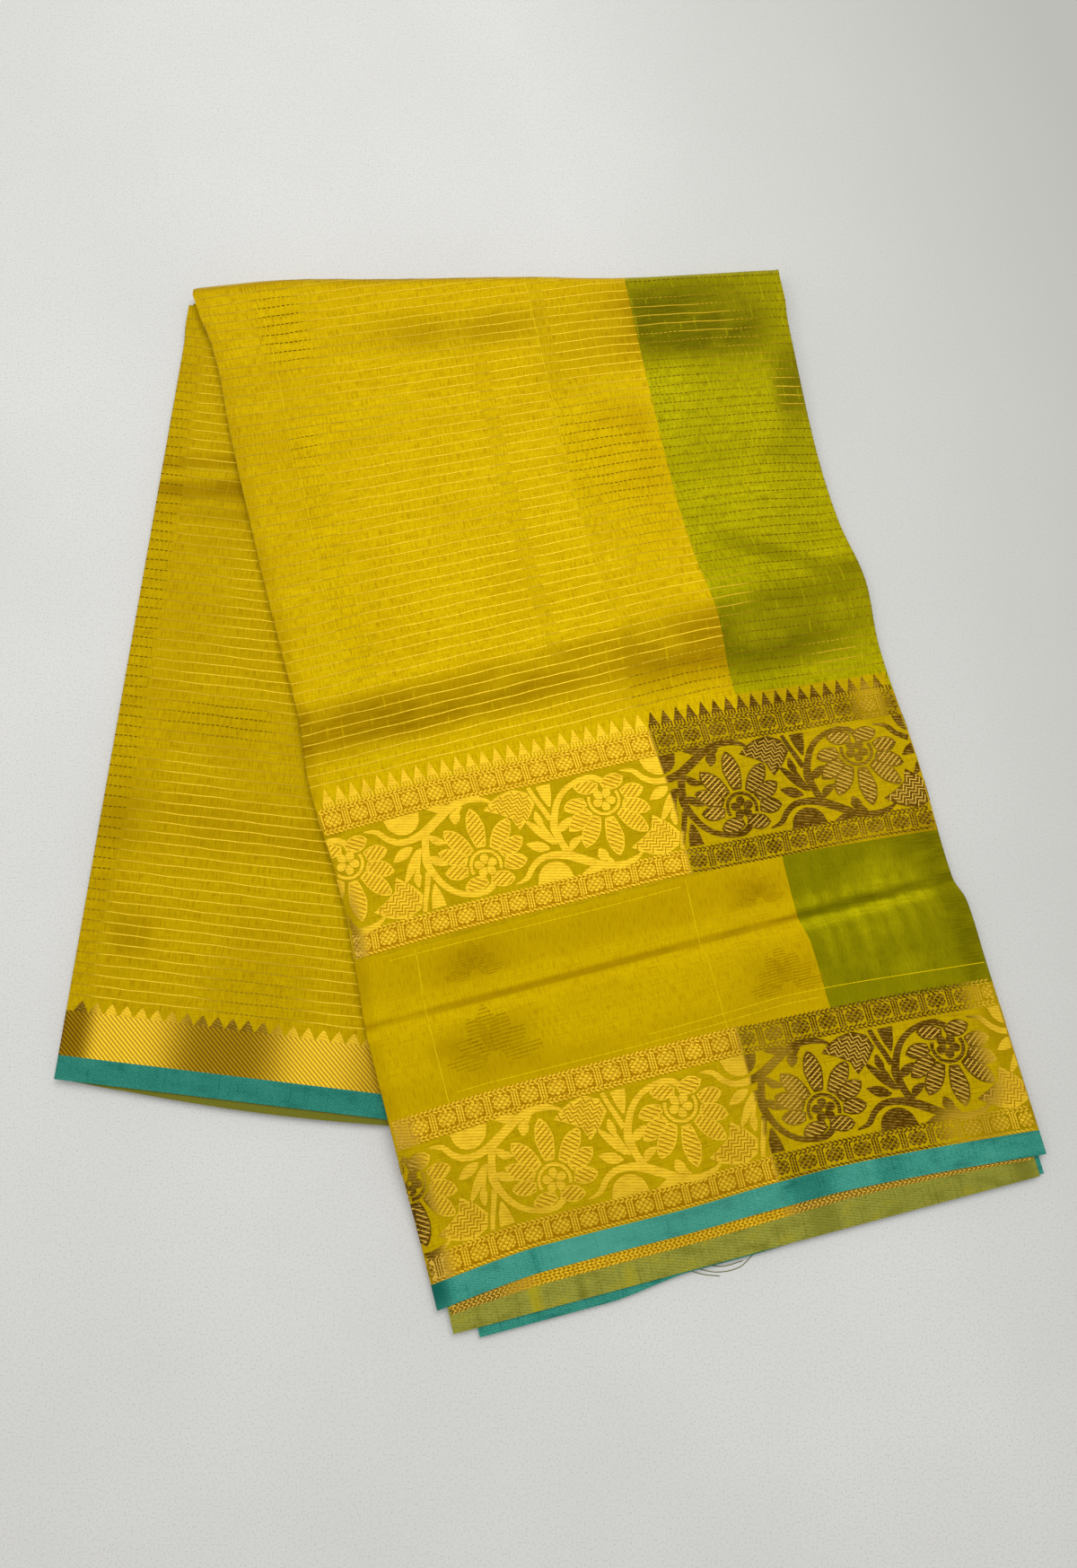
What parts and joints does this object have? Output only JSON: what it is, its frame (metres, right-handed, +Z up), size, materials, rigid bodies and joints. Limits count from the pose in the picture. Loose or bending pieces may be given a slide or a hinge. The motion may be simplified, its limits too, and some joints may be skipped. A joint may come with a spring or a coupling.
{
  "type": "folded saree",
  "caption": "Saree folded lengthwise into a strip and once across it, lying flat with its two halves fanned apart.",
  "frame": {"origin": "middle of the outline, on the surface the saree lies on", "axes": "+Z up from the surface, +Y towards the top fold, +X to the right seen from above"},
  "size_m": [0.554, 0.6264, 0.0143],
  "materials": {
    "yellow_silk": "soft silk sheen, fine plain weave",
    "green_silk": "soft silk sheen, fine plain weave",
    "bright_zari": "bright gold thread brocade",
    "dark_zari": "dark gold-brown thread brocade",
    "teal_twill": "matte twill",
    "olive_twill": "matte twill reverse",
    "inner_layers": "soft silk, layered edges"
  },
  "bodies": {
    "root": {"front_selvedge": "teal_twill", "front_lower_border_gold": "bright_zari", "front_lower_border_brown": "dark_zari", "front_upper_border_gold": "bright_zari", "front_upper_border_brown": "dark_zari", "front_plain_band_yellow": "yellow_silk", "front_plain_band_green": "green_silk", "front_field_yellow": "yellow_silk", "front_field_green": "green_silk", "second_layer_hem": "olive_twill", "third_layer_hem": "teal_twill", "back_selvedge": "teal_twill", "back_border": "bright_zari", "back_field": "yellow_silk", "back_lower_layer": "olive_twill", "hidden_layers": "inner_layers"}
  },
  "joints": []
}
